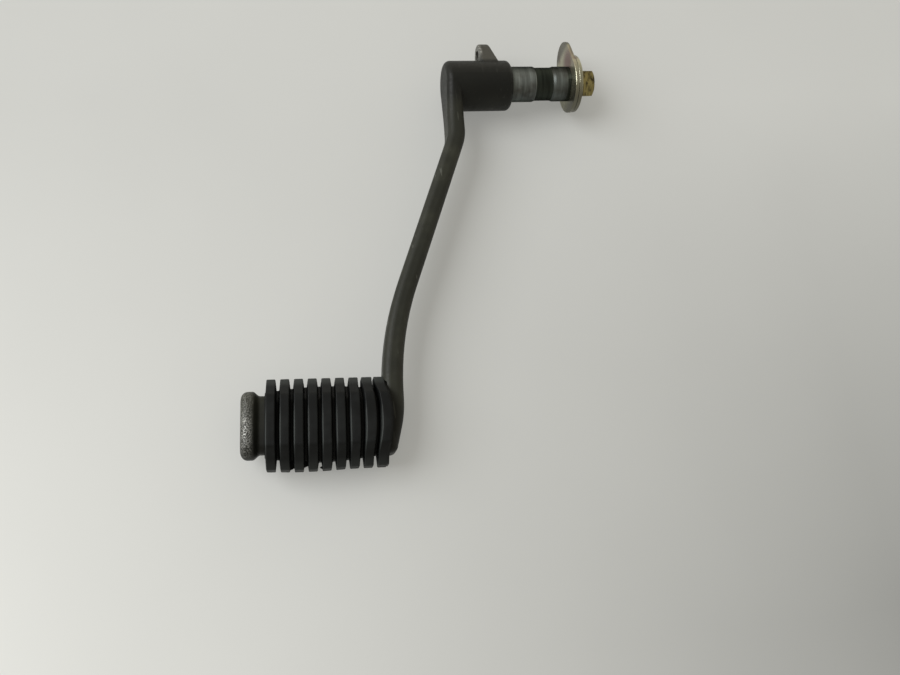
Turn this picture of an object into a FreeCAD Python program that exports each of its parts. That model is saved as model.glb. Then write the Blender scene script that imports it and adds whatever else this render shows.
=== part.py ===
"""Motorbike rear brake pedal with its pivot shaft, ribbed pad rubber and end fixings.

Units are millimetres and degrees. X runs along the pivot shaft towards the middle of the bike,
Y points to the rear and Z up. The origin is on the shaft's axis, at the inboard face of the hub.
"""

import FreeCAD, Part
import math
import os

from FreeCAD import Placement, Rotation, Vector

X_AXIS = Vector(1, 0, 0)
Y_AXIS = Vector(0, 1, 0)
Z_AXIS = Vector(0, 0, 1)
ORIGIN = Vector(0, 0, 0)

# Hub, which the pivot shaft is pressed into
HUB_RADIUS = 12.0
HUB_LENGTH = 32.3
HUB_SET_FORWARD = 0.7
HUB_CAP = 4.0
HUB_OUTBOARD_ROUND = 3.0
HUB_INBOARD_ROUND = 2.4

# Arm, a bar bent in plan: flared out of the hub, splayed outboard, then swept square to a tapered foot
ARM_ROOT_THICKNESS = 7.3
ARM_ELBOW_THICKNESS = 8.3
ARM_SWEEP_THICKNESS = 8.6
ARM_FOOT_THICKNESS = 8.8
ARM_EDGE_ROUND = 3.3
ROUND_SHARE_OF_WALL = 0.48
ARM_LEAN = 2.5
ARM_STRAIGHT = 30.1
ARM_SPLAY = 22.8
SWEEP_TO_PAD = 36.6
ELBOW_RADIUS = 20.0
SWEEP_RADIUS = 137.0
ARM_DEPTH_AT_HUB = 16.0
ARM_DEPTH_AT_PAD = 13.0
FLARE_REACH = 20.0
FLARE_RADIUS = 40.0
FLARE_SINK = 0.2
FOOT_LEAD = 2.6
FOOT_TAPER = 14.0
FOOT_BEND_RADIUS = 40.0
FOOT_OVERHANG = 2.0
FOOT_ROUND = 3.0
RUBBER_SEAT = 1.7

# Pad core, a flat bar whose neck rises to a lip at its end
PAD_REACH = 160.7
PAD_DROP = 2.0
PAD_TOE = 2.75
CORE_WIDTH = 24.0
CORE_THICKNESS = 10.0
CORE_CORNER = 4.0
CORE_ROOT = 2.0
NECK_LENGTH = 2.4
NECK_BLEND = 1.5
LIP_RISE = 2.0
LIP_FLARE = 1.9
LIP_LENGTH = 5.2
LIP_INNER_ROUND = 1.5
LIP_OUTER_ROUND = 2.9

# Lug behind the hub, with the hole that the brake linkage hooks into
LUG_SETBACK = 13.7
LUG_TIP_THICKNESS = 5.0
LUG_ROOT_THICKNESS = 9.6
LUG_REACH = 15.8
LUG_END_RADIUS = 6.0
LUG_HOLE_RADIUS = 3.0
LUG_EDGE_ROUND = 1.0
LUG_SINK = 0.4

# Pad rubber, a sleeve with ribs all round
RIB_COUNT = 9
RIB_PITCH = 5.62
RIB_TIP = 3.7
RIB_ROOT = 5.0
RIB_HEIGHT = 5.2
GROOVE_SWELL = 2.0
RUBBER_WIDTH = 37.0
RUBBER_THICKNESS = 24.0
RUBBER_CHAMFER = 8.2
RUBBER_CORNER = 2.2
RUBBER_END_GAP = 0.2
SEAT_CLEARANCE = 0.3

# Pivot shaft
JOURNAL_RADIUS = 8.5
JOURNAL_LENGTH = 13.0
RELIEF_RADIUS = 7.95
RELIEF_LENGTH = 8.0
RELIEF_RAMP = 1.2
OUTER_JOURNAL_RADIUS = 8.4
OUTER_JOURNAL_LENGTH = 9.2
SHAFT_CHAMFER = 1.0
SPIGOT_RADIUS = 7.4
FLAT_DISTANCE = 6.5
FLAT_ANGLE = 145.0
FLAT_RUN = 2.0

# Stop plate, keyed to the shaft's two flats
PLATE_RADIUS = 14.0
PLATE_THICKNESS = 1.8
PLATE_EDGE_ROUND = 0.4
TONGUE_REACH = 12.4
TONGUE_RADIUS = 10.2
TONGUE_ANGLE = -2.0
KEY_CLEARANCE = 0.05
SPIGOT_SHORTFALL = 0.15

# End fixings: plain washer, spring washer and hexagon bolt
WASHER_RADIUS = 13.8
WASHER_THICKNESS = 2.0
WASHER_EDGE_ROUND = 0.5
WASHER_HOLE_CLEARANCE = 0.25
SPRING_RADIUS = 6.7
SPRING_THICKNESS = 2.1
SPRING_HOLE_CLEARANCE = 0.15
SPRING_SLIT = 1.0
SPRING_SLIT_LEAN = 25.0
BOLT_RADIUS = 4.0
BOLT_ENGAGEMENT = 15.0
BOLT_HOLE_RUNOUT = 4.0
BOLT_TIP_CHAMFER = 0.8
HEX_ACROSS_FLATS = 12.0
HEX_HEIGHT = 6.4
HEX_TURN = 0.0
HEX_CHAMFER_ANGLE = 30.0
DISH_RADIUS = 4.3
DISH_DEPTH = 0.7
CROSS_WIDTH = 1.3
CROSS_SPAN = 6.0
CROSS_DEPTH = 2.6

# Places along the shaft that the pieces share
RELIEF_START = JOURNAL_LENGTH
RELIEF_END = RELIEF_START + RELIEF_LENGTH
SHAFT_SHOULDER = RELIEF_END + OUTER_JOURNAL_LENGTH
PLATE_OUTER_FACE = SHAFT_SHOULDER + PLATE_THICKNESS
WASHER_OUTER_FACE = PLATE_OUTER_FACE + WASHER_THICKNESS
SPRING_OUTER_FACE = WASHER_OUTER_FACE + SPRING_THICKNESS
SHAFT_TIP = PLATE_OUTER_FACE - SPIGOT_SHORTFALL

# Places along the arm, whose splayed run is what the straight and the sweep leave of the reach
ARM_SPLAY_RUN = PAD_REACH - ARM_STRAIGHT - SWEEP_TO_PAD
ARM_ROOT = Vector(-HUB_LENGTH + ARM_ROOT_THICKNESS / 2, 0, 0)
ELBOW = ARM_ROOT + Vector(-ARM_STRAIGHT * math.tan(math.radians(ARM_LEAN)), -ARM_STRAIGHT, 0)
SWEEP = ELBOW + Vector(-ARM_SPLAY_RUN * math.tan(math.radians(ARM_SPLAY)), -ARM_SPLAY_RUN, 0)
TO_PAD = Vector(-math.sin(math.radians(PAD_TOE)), -math.cos(math.radians(PAD_TOE)), 0)
PAD_LEVEL = SWEEP + TO_PAD * ((PAD_REACH + SWEEP.y) / -TO_PAD.y)
PAD_OUTWARD = Vector(TO_PAD.y, -TO_PAD.x, 0)
PAD_ROOT = PAD_LEVEL + PAD_OUTWARD * (ARM_FOOT_THICKNESS / 2 - RUBBER_SEAT) - Z_AXIS * PAD_DROP

# The pad's own frame: X outward along the pad, Y forward, Z up, from the rubber's seat on the arm
PAD_FRAME = Placement(PAD_ROOT, Rotation(Z_AXIS, 180 - PAD_TOE))
RUBBER_LENGTH = (RIB_COUNT - 1) * RIB_PITCH + RIB_ROOT
RUBBER_OUTER_END = RUBBER_END_GAP + RUBBER_LENGTH
NECK_END = RUBBER_OUTER_END + NECK_LENGTH
LIP_START = NECK_END + LIP_RISE


def rounded_run(corners, radii):
    """Edges along a run of corner points, each inner corner rounded to its radius."""
    edges = []
    start = corners[0]
    for before, corner, after, radius in zip(corners, corners[1:], corners[2:], radii):
        back = (before - corner).normalize()
        ahead = (after - corner).normalize()
        half_turn = (math.pi - back.getAngle(ahead)) / 2
        setback = radius * math.tan(half_turn)
        towards_centre = (back + ahead).normalize()
        centre = corner + towards_centre * (radius / math.cos(half_turn))
        leave = corner + back * setback
        rejoin = corner + ahead * setback
        edges.append(Part.LineSegment(start, leave).toShape())
        edges.append(Part.Arc(leave, centre - towards_centre * radius, rejoin).toShape())
        start = rejoin
    edges.append(Part.LineSegment(start, corners[-1]).toShape())
    return edges


def rounded_loop(corners, radius):
    """Closed wire through corner points, every corner rounded to the same radius."""
    middle = (corners[0] + corners[-1]) * 0.5
    loop = [middle] + corners + [middle]
    return Part.Wire(rounded_run(loop, [radius] * len(corners)))


def prism(wire, height_vector):
    """Solid made by moving a flat closed wire along a vector."""
    return Part.Face(wire).extrude(height_vector)


def turned(points):
    """Solid of revolution about the shaft's axis from (x, radius) points."""
    wire = Part.makePolygon([Vector(x, 0, r) for x, r in points + points[:1]])
    return Part.Face(wire).revolve(ORIGIN, X_AXIS, 360)


def round_bar(start, end, radius):
    """Cylinder on the shaft's axis between two places."""
    return Part.makeCylinder(radius, end - start, Vector(start, 0, 0), X_AXIS)


def across_shaft(angle, distance):
    """Point at an angle from the rear, towards the top, in the plane square to the shaft."""
    turn = math.radians(angle)
    return Vector(0, distance * math.cos(turn), distance * math.sin(turn))


def edges_on_plane(shape, normal, distance):
    """Edges of a shape that lie in the plane at a distance along a normal."""
    def lies_in(edge):
        return all(abs(v.Point.dot(normal) - distance) < 1e-6 for v in edge.Vertexes) and \
            abs(edge.CenterOfMass.dot(normal) - distance) < 1e-6
    return [edge for edge in shape.Edges if lies_in(edge)]


def hub():
    body = round_bar(-HUB_LENGTH, 0, HUB_RADIUS)
    body.translate(Y_AXIS * -HUB_SET_FORWARD)
    body = body.makeFillet(HUB_OUTBOARD_ROUND, edges_on_plane(body, X_AXIS, -HUB_LENGTH))
    return body.makeFillet(HUB_INBOARD_ROUND, edges_on_plane(body, X_AXIS, 0))


def arm_plan():
    """Outline of the arm from above, carried round the outer corner at the pad."""
    half_foot = ARM_FOOT_THICKNESS / 2
    foot_run = FOOT_LEAD + CORE_WIDTH / 2 + FOOT_OVERHANG - half_foot
    bend = PAD_LEVEL - TO_PAD * FOOT_LEAD
    toe = bend + TO_PAD * foot_run + PAD_OUTWARD * (foot_run * math.tan(math.radians(FOOT_TAPER)))
    tail = toe + PAD_OUTWARD * (2 * ARM_FOOT_THICKNESS)
    centreline = [ARM_ROOT, ELBOW, SWEEP, bend, toe, tail]
    half_elbow = ARM_ELBOW_THICKNESS / 2
    half_sweep = ARM_SWEEP_THICKNESS / 2
    halves = [ARM_ROOT_THICKNESS / 2, half_elbow, half_sweep, half_foot, half_foot, half_foot]
    along = [(b - a).normalize() for a, b in zip(centreline, centreline[1:])]

    def side_corner(index, side):
        """A corner of the centreline moved sideways, mitred where the arm bends."""
        before = along[max(index - 1, 0)]
        after = along[min(index, len(along) - 1)]
        normal = Vector(before.y, -before.x, 0)
        mitre = (normal + Vector(after.y, -after.x, 0)).normalize()
        return centreline[index] + mitre * (side * halves[index] / mitre.dot(normal))

    outboard = [side_corner(i, 1) for i in range(len(centreline))]
    inboard = [side_corner(i, -1) for i in range(len(centreline))]
    outboard_radii = [
        ELBOW_RADIUS - half_elbow, SWEEP_RADIUS + half_sweep, FOOT_BEND_RADIUS - half_foot, FOOT_ROUND,
    ]
    inboard_radii = [
        ELBOW_RADIUS + half_elbow, SWEEP_RADIUS - half_sweep, FOOT_BEND_RADIUS + half_foot, FOOT_ROUND,
    ]
    edges = rounded_run(outboard, outboard_radii) + rounded_run(inboard, inboard_radii)
    edges.append(Part.LineSegment(outboard[0], inboard[0]).toShape())
    edges.append(Part.LineSegment(outboard[-1], inboard[-1]).toShape())
    return Part.Wire(Part.__sortEdges__(edges))


def arm_side():
    """Outline of the arm from the side: flared round the hub, flat below, its top falling to the pad."""
    far_end = -PAD_REACH - RUBBER_WIDTH
    underside = -ARM_DEPTH_AT_HUB / 2
    flare_radius = HUB_RADIUS - FLARE_SINK
    flare_foot = Vector(0, HUB_SET_FORWARD - FLARE_REACH, -underside)
    lean = math.acos(flare_radius / flare_foot.Length)
    turn = math.degrees(math.atan2(flare_foot.z, flare_foot.y) - lean)
    hub_points = [across_shaft(side * turn, flare_radius) - Y_AXIS * HUB_SET_FORWARD for side in (1, -1)]
    flare_points = [Vector(0, -FLARE_REACH, -underside), Vector(0, -FLARE_REACH, underside)]
    far_points = [Vector(0, far_end, underside + ARM_DEPTH_AT_PAD), Vector(0, far_end, underside)]
    edges = []
    for run in zip(hub_points, flare_points, far_points):
        edges += rounded_run(run, [FLARE_RADIUS])
    edges.append(Part.LineSegment(*hub_points).toShape())
    edges.append(Part.LineSegment(*far_points).toShape())
    return Part.Wire(Part.__sortEdges__(edges))


def arm():
    """The plan cut to the side outline, its long edges rounded, with a seat let in for the rubber."""
    plan = arm_plan()
    plan.translate(Z_AXIS * -ARM_DEPTH_AT_HUB)
    reach = Vector(2 * PAD_LEVEL.x, 0, 0)
    bar = prism(plan, Z_AXIS * (2 * ARM_DEPTH_AT_HUB)).common(prism(arm_side(), reach))
    edge_round = min(ARM_EDGE_ROUND, ROUND_SHARE_OF_WALL * ARM_ROOT_THICKNESS)
    long_edges = [
        edge for edge in bar.Edges
        if edge.BoundBox.ZLength < edge.BoundBox.YLength and edge.BoundBox.YLength > ARM_FOOT_THICKNESS
    ]
    bar = bar.makeFillet(edge_round, long_edges)
    seat = prism(rubber_outline(0, -SEAT_CLEARANCE), X_AXIS * RUBBER_LENGTH)
    seat.Placement = PAD_FRAME
    return bar.cut(seat)


def lug():
    """Wedge-shaped ear behind the hub: thick at its root, thin and rounded at its tip."""
    start = -LUG_SETBACK
    tip = LUG_REACH + LUG_END_RADIUS
    plan = Part.makePolygon([
        Vector(start, 0, 0), Vector(start, tip, 0), Vector(start + LUG_TIP_THICKNESS, tip, 0),
        Vector(start + LUG_ROOT_THICKNESS, 0, 0), Vector(start, 0, 0),
    ])
    plan.translate(Z_AXIS * -HUB_RADIUS)
    wedge = prism(plan, Z_AXIS * (2 * HUB_RADIUS))
    root_radius = HUB_RADIUS - LUG_SINK
    lean = math.degrees(math.acos((root_radius - LUG_END_RADIUS) / (LUG_REACH + HUB_SET_FORWARD)))
    hub_points = [across_shaft(turn, root_radius) - Y_AXIS * HUB_SET_FORWARD for turn in (lean, -lean)]
    end_points = [across_shaft(turn, LUG_END_RADIUS) + Y_AXIS * LUG_REACH for turn in (lean, -lean)]
    outline = Part.Wire([
        Part.LineSegment(hub_points[0], end_points[0]).toShape(),
        Part.Arc(end_points[0], Vector(0, tip, 0), end_points[1]).toShape(),
        Part.LineSegment(end_points[1], hub_points[1]).toShape(),
        Part.LineSegment(hub_points[1], hub_points[0]).toShape(),
    ])
    outline.translate(X_AXIS * start)
    ear = wedge.common(prism(outline, X_AXIS * LUG_ROOT_THICKNESS))
    rim = [
        edge for edge in ear.Edges
        if edge.CenterOfMass.y > hub_points[0].y + LUG_EDGE_ROUND
        and edge.BoundBox.YLength + edge.BoundBox.ZLength > LUG_EDGE_ROUND
    ]
    ear = ear.makeFillet(LUG_EDGE_ROUND, rim)
    hole = Part.makeCylinder(LUG_HOLE_RADIUS, HUB_LENGTH, Vector(-HUB_LENGTH, LUG_REACH, 0), X_AXIS)
    return ear, hole


def core_outline(place, growth):
    """Rounded rectangle of the pad core in the pad's frame, grown all round."""
    half_width = CORE_WIDTH / 2 + growth
    half_height = CORE_THICKNESS / 2 + growth
    corners = [
        Vector(place, half_width, half_height), Vector(place, -half_width, half_height),
        Vector(place, -half_width, -half_height), Vector(place, half_width, -half_height),
    ]
    return rounded_loop(corners, CORE_CORNER + growth)


def pad_core():
    """Flat bar from the middle of the arm, which rises to a lip at its end."""
    bar = prism(core_outline(-CORE_ROOT, 0), X_AXIS * (CORE_ROOT + NECK_END))
    rise = Part.makeLoft([core_outline(NECK_END, 0), core_outline(LIP_START, LIP_FLARE)], True, True)
    lip = prism(core_outline(LIP_START, LIP_FLARE), X_AXIS * LIP_LENGTH)
    core = bar.fuse([rise, lip])
    core = core.makeFillet(NECK_BLEND, edges_on_plane(core, X_AXIS, NECK_END))
    core = core.makeFillet(LIP_INNER_ROUND, edges_on_plane(core, X_AXIS, LIP_START))
    core = core.makeFillet(LIP_OUTER_ROUND, edges_on_plane(core, X_AXIS, LIP_START + LIP_LENGTH))
    core.Placement = PAD_FRAME
    return core


def pedal_forging():
    """Hub, arm, pad core and lug, forged in one piece and bored for the shaft."""
    ear, ear_hole = lug()
    body = hub().fuse([arm(), pad_core(), ear]).removeSplitter()
    bore = round_bar(-HUB_LENGTH + HUB_CAP, 0, JOURNAL_RADIUS)
    return body.cut([bore, ear_hole])


def rubber_outline(place, depth):
    """Eight-sided outline of the rubber in the pad's frame, at a depth below the rib tips."""
    half_width = RUBBER_WIDTH / 2 - depth
    half_height = RUBBER_THICKNESS / 2 - depth
    chamfer = RUBBER_CHAMFER - depth * (2 - math.sqrt(2))
    quarter = [(half_width, half_height - chamfer), (half_width - chamfer, half_height)]
    corners = [(y, z) for y, z in quarter]
    corners += [(-y, z) for y, z in reversed(quarter)]
    corners += [(-y, -z) for y, z in quarter]
    corners += [(y, -z) for y, z in reversed(quarter)]
    return rounded_loop([Vector(place, y, z) for y, z in corners], RUBBER_CORNER)


def groove_depth(index):
    """Depth in front of a rib: the sleeve swells towards the middle of the pad."""
    along = 2 * index / RIB_COUNT - 1
    return RIB_HEIGHT - GROOVE_SWELL * (1 - along ** 2)


def pad_rubber():
    """Sleeve lofted rib by rib from a flat end at the arm, with the core's shape cut out of it."""
    sections = [rubber_outline(RUBBER_END_GAP, 0)]
    flank = (RIB_ROOT - RIB_TIP) / 2
    for index in range(RIB_COUNT):
        start = RUBBER_END_GAP + index * RIB_PITCH
        if index > 0:
            sections += [rubber_outline(start, groove_depth(index)), rubber_outline(start + flank, 0)]
        sections += [
            rubber_outline(start + flank + RIB_TIP, 0),
            rubber_outline(start + RIB_ROOT, groove_depth(index + 1)),
        ]
    sleeve = Part.makeLoft(sections, True, True)
    sleeve = sleeve.cut(prism(core_outline(0, 0), X_AXIS * NECK_END))
    sleeve.Placement = PAD_FRAME
    return sleeve


def key_slab(start, end, clearance):
    """Block between the shaft's two flats, wide enough to span the shaft."""
    width = 2 * (FLAT_DISTANCE + clearance)
    span = 4 * JOURNAL_RADIUS
    slab = Part.makeBox(end - start, width, span, Vector(start, -width / 2, -span / 2))
    slab.rotate(ORIGIN, X_AXIS, FLAT_ANGLE)
    return slab


def pivot_shaft():
    """Turned shaft: two journals with a relief between them, and a keyed spigot at its end."""
    head = -HUB_LENGTH + HUB_CAP
    body = turned([
        (head, 0), (head, JOURNAL_RADIUS - SHAFT_CHAMFER), (head + SHAFT_CHAMFER, JOURNAL_RADIUS),
        (RELIEF_START - RELIEF_RAMP, JOURNAL_RADIUS), (RELIEF_START, RELIEF_RADIUS),
        (RELIEF_END, RELIEF_RADIUS), (RELIEF_END + RELIEF_RAMP, OUTER_JOURNAL_RADIUS),
        (SHAFT_SHOULDER, OUTER_JOURNAL_RADIUS), (SHAFT_SHOULDER, SPIGOT_RADIUS),
        (SHAFT_TIP, SPIGOT_RADIUS), (SHAFT_TIP, 0),
    ])
    flats_start = SHAFT_SHOULDER - FLAT_RUN
    keyed = body.common(key_slab(flats_start, SHAFT_TIP, 0))
    plain = body.common(round_bar(head, flats_start, 2 * JOURNAL_RADIUS))
    hole_end = SHAFT_TIP - BOLT_ENGAGEMENT - BOLT_HOLE_RUNOUT
    return plain.fuse(keyed).removeSplitter().cut(round_bar(hole_end, SHAFT_TIP, BOLT_RADIUS))


def stop_plate():
    """Disc with a broad tongue, with a hole that fits the spigot and its flats."""
    spread = math.degrees(math.acos((PLATE_RADIUS - TONGUE_RADIUS) / TONGUE_REACH))
    tongue = across_shaft(TONGUE_ANGLE, TONGUE_REACH)
    disc_points = [across_shaft(TONGUE_ANGLE + turn, PLATE_RADIUS) for turn in (spread, 180, -spread)]
    tip_turns = (TONGUE_ANGLE - spread, TONGUE_ANGLE, TONGUE_ANGLE + spread)
    tip_points = [tongue + across_shaft(turn, TONGUE_RADIUS) for turn in tip_turns]
    outline = Part.Wire([
        Part.Arc(*disc_points).toShape(), Part.LineSegment(disc_points[2], tip_points[0]).toShape(),
        Part.Arc(*tip_points).toShape(), Part.LineSegment(tip_points[2], disc_points[0]).toShape(),
    ])
    outline.translate(X_AXIS * SHAFT_SHOULDER)
    plate = prism(outline, X_AXIS * PLATE_THICKNESS)
    rims = edges_on_plane(plate, X_AXIS, SHAFT_SHOULDER) + edges_on_plane(plate, X_AXIS, PLATE_OUTER_FACE)
    plate = plate.makeFillet(PLATE_EDGE_ROUND, rims)
    key = round_bar(SHAFT_SHOULDER, PLATE_OUTER_FACE, SPIGOT_RADIUS + KEY_CLEARANCE)
    return plate.cut(key.common(key_slab(SHAFT_SHOULDER, PLATE_OUTER_FACE, KEY_CLEARANCE)))


def plain_washer():
    disc = round_bar(PLATE_OUTER_FACE, WASHER_OUTER_FACE, WASHER_RADIUS)
    disc = disc.makeFillet(WASHER_EDGE_ROUND, [edge for edge in disc.Edges if len(edge.Vertexes) == 1])
    return disc.cut(round_bar(PLATE_OUTER_FACE, WASHER_OUTER_FACE, BOLT_RADIUS + WASHER_HOLE_CLEARANCE))


def spring_washer():
    """Square-section ring, cut through once at a slant."""
    ring = round_bar(WASHER_OUTER_FACE, SPRING_OUTER_FACE, SPRING_RADIUS)
    ring = ring.cut(round_bar(WASHER_OUTER_FACE, SPRING_OUTER_FACE, BOLT_RADIUS + SPRING_HOLE_CLEARANCE))
    middle = Vector((WASHER_OUTER_FACE + SPRING_OUTER_FACE) / 2, 0, 0)
    slit = Part.makeBox(
        4 * SPRING_THICKNESS, SPRING_SLIT, 2 * SPRING_RADIUS,
        middle - Vector(2 * SPRING_THICKNESS, SPRING_SLIT / 2, 0))
    slit.rotate(middle, Z_AXIS, SPRING_SLIT_LEAN)
    return ring.cut(slit)


def hexagon_bolt():
    """Hexagon bolt with a chamfered, dished head and a cross recess."""
    head_end = SPRING_OUTER_FACE + HEX_HEIGHT
    corner_radius = HEX_ACROSS_FLATS / math.sqrt(3)
    hexagon = Part.makePolygon([across_shaft(HEX_TURN + 60 * i, corner_radius) for i in range(7)])
    hexagon.translate(X_AXIS * SPRING_OUTER_FACE)
    head = prism(hexagon, X_AXIS * HEX_HEIGHT)
    chamfer = (corner_radius - HEX_ACROSS_FLATS / 2) * math.tan(math.radians(HEX_CHAMFER_ANGLE))
    head = head.common(turned([
        (SPRING_OUTER_FACE, 0), (SPRING_OUTER_FACE, corner_radius), (head_end - chamfer, corner_radius),
        (head_end, HEX_ACROSS_FLATS / 2), (head_end, 0),
    ]))
    head = head.cut(round_bar(head_end - DISH_DEPTH, head_end, DISH_RADIUS))
    for turn in (0, 90):
        corner = Vector(head_end - CROSS_DEPTH, -CROSS_WIDTH / 2, -CROSS_SPAN / 2)
        slot = Part.makeBox(CROSS_DEPTH, CROSS_WIDTH, CROSS_SPAN, corner)
        slot.rotate(ORIGIN, X_AXIS, HEX_TURN + turn)
        head = head.cut(slot)
    tip = SHAFT_TIP - BOLT_ENGAGEMENT
    shank = turned([
        (tip, 0), (tip, BOLT_RADIUS - BOLT_TIP_CHAMFER), (tip + BOLT_TIP_CHAMFER, BOLT_RADIUS),
        (SPRING_OUTER_FACE, BOLT_RADIUS), (SPRING_OUTER_FACE, 0),
    ])
    return head.fuse(shank).removeSplitter()


NODES = {
    "pedal_forging": pedal_forging,
    "pivot_shaft": pivot_shaft,
    "pad_rubber": pad_rubber,
    "stop_plate": stop_plate,
    "plain_washer": plain_washer,
    "spring_washer": spring_washer,
    "end_bolt": hexagon_bolt,
}

os.makedirs("parts", exist_ok=True)
for name, make in NODES.items():
    shape = make()
    solid = shape.Solids[0] if len(shape.Solids) == 1 else shape
    print(f"{name}: {len(shape.Solids)} solid, {solid.Volume:.0f} mm3, valid {solid.isValid()}")
    solid.exportStep(f"parts/{name}.step")
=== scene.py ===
"""Motorbike rear brake pedal: finishes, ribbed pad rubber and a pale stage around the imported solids.

Lengths are metres, in the frame of the solids: X along the pivot shaft, Y to the rear, Z up.
"""

import math

import bmesh
import bpy
from bpy.props import FloatProperty, FloatVectorProperty, IntProperty, PointerProperty
from mathutils import Matrix, Vector


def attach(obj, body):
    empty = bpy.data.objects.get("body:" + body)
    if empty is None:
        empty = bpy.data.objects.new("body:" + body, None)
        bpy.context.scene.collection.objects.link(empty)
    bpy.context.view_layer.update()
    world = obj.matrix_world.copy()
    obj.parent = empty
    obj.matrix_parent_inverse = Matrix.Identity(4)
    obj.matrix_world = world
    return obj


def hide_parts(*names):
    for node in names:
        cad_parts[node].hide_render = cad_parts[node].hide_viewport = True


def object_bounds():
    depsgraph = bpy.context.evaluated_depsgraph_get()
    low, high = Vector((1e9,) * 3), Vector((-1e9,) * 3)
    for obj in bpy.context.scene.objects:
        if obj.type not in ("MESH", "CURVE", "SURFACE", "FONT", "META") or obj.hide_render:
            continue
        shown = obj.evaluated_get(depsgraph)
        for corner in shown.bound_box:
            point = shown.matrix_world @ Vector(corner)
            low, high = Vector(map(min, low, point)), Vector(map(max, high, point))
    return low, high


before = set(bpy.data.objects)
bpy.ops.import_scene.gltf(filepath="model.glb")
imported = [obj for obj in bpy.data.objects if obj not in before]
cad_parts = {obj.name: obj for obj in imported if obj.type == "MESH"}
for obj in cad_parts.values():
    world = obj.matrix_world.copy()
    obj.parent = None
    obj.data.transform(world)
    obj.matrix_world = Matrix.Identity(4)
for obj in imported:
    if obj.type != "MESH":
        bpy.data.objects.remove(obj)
CAD_LOW, CAD_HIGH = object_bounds()

bl_info = {
    "name": "Brake Pedal",
    "version": (1, 0, 0),
    "blender": (4, 5, 0),
    "location": "3D View > Sidebar > Pedal",
    "description": "Finishes a forged brake pedal and builds its ribbed pad rubber",
    "category": "Object",
}

MM = 0.001
BODY = "root"

# Settings that properties and nodes share
LENGTH = {"subtype": "DISTANCE", "unit": "LENGTH", "precision": 5}
COLOUR = {"subtype": "COLOR", "min": 0.0, "max": 1.0}
SMOOTH = {"interpolation_type": "SMOOTHSTEP"}

# Pad frame: X outward along the pad, Y forward, Z up, turned a little about the vertical
PAD_TOE = math.radians(2.75)
PAD_ANGLE = math.pi - PAD_TOE
PAD_TURN = Matrix.Rotation(PAD_ANGLE, 4, "Z")


def pad_extent(node):
    """Lowest and highest corner of a node along the pad's own axes."""
    back = PAD_TURN.inverted()
    points = [back @ v.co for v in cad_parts[node].data.vertices]
    low = Vector([min(p[axis] for p in points) for axis in range(3)])
    high = Vector([max(p[axis] for p in points) for axis in range(3)])
    return low, high


RUBBER_LOW, RUBBER_HIGH = pad_extent("pad_rubber")
RUBBER_SIZE = RUBBER_HIGH - RUBBER_LOW
RUBBER_MIDDLE = (RUBBER_LOW + RUBBER_HIGH) / 2
PAD_ORIGIN = PAD_TURN @ Vector((RUBBER_LOW.x, RUBBER_MIDDLE.y, RUBBER_MIDDLE.z))
LIP_END = pad_extent("pedal_forging")[1].x - RUBBER_LOW.x


def linear(code):
    """Linear colour of an sRGB hex value."""
    parts = [int(code[i:i + 2], 16) / 255 for i in (1, 3, 5)]
    return tuple(c / 12.92 if c <= 0.04045 else ((c + 0.055) / 1.055) ** 2.4 for c in parts)


def per_mm(size):
    """Texture scale of a pattern that repeats every so many millimetres."""
    return 1 / (size * MM)


def span(start, end):
    """Ends of a Map Range, as its inputs 1 and 2, from two places in millimetres."""
    return {1: start * MM, 2: end * MM}


def add_node(tree, kind, inputs=None, **settings):
    """Add a node, set its properties, and fill or link its inputs by name or place.

    A node given as a value stands for its first output in use. By place, Map Range takes 0 as the value,
    1 and 2 as the range it comes from and 3 and 4 as the one it goes to, and a colour Mix takes 0 as the
    share and 6 and 7 as the colours.
    """
    node = tree.nodes.new(kind)
    for name, value in settings.items():
        setattr(node, name, value)
    for key, value in (inputs or {}).items():
        socket = node.inputs[key]
        if isinstance(value, bpy.types.Node):
            value = next(output for output in value.outputs if output.enabled)
        if isinstance(value, bpy.types.NodeSocket):
            tree.links.new(value, socket)
        elif socket.type == "RGBA":
            socket.default_value = (*value[:3], 1)
        else:
            socket.default_value = value
    return node


# Where the forging's paint changes, along the part's axes, and the way its scratches run
ARM_RUN = math.radians(-22)
NEAR_HUB = span(-17, -9)
NEAR_FOOT = span(-142, -172)
HUB_SET_FORWARD = 0.7 * MM
PAST_HUB = span(12.2, 13.4)
BEHIND_SHAFT = span(3, 6)
LUG_SIDE = span(-12.2, -13.2)
LUG_TIP = span(11, 15)

# Where the boot rubs the lip, along the pad's axes
LIP_RIM = LIP_END - 2 * MM
BESIDE_RIM = span(3.7, 0.6)
LIP_UPPER = span(1, 5)
BOOT_PLACE = 3 * MM
BESIDE_BOOT = span(10, 1)

# Places in millimetres along the shaft, and how much journal steel shows at each: less by the hub's end for
# painted shade, more than on the journals for painted highlight rings on the relief's edges, and little next
# to the plate
SHAFT_RUN = 32
SHAFT_ZONES = (
    (0.0, 0.6), (3.0, 1.0), (11.7, 0.9), (11.9, 1.2), (12.1, 1.2), (12.4, 0.0), (20.7, 0.0),
    (21.0, 0.8), (21.2, 0.8), (21.4, 0.7), (28.0, 0.75), (28.4, 0.15),
)
# Painted highlight along the top of the shaft, so far ahead of its axis, and painted shade towards its rear
HIGHLIGHT_FORWARD = 2.2 * MM
BESIDE_HIGHLIGHT = span(0.5, 5.5)
SHAFT_BACK_SHADE = span(1, 6.5)

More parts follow.
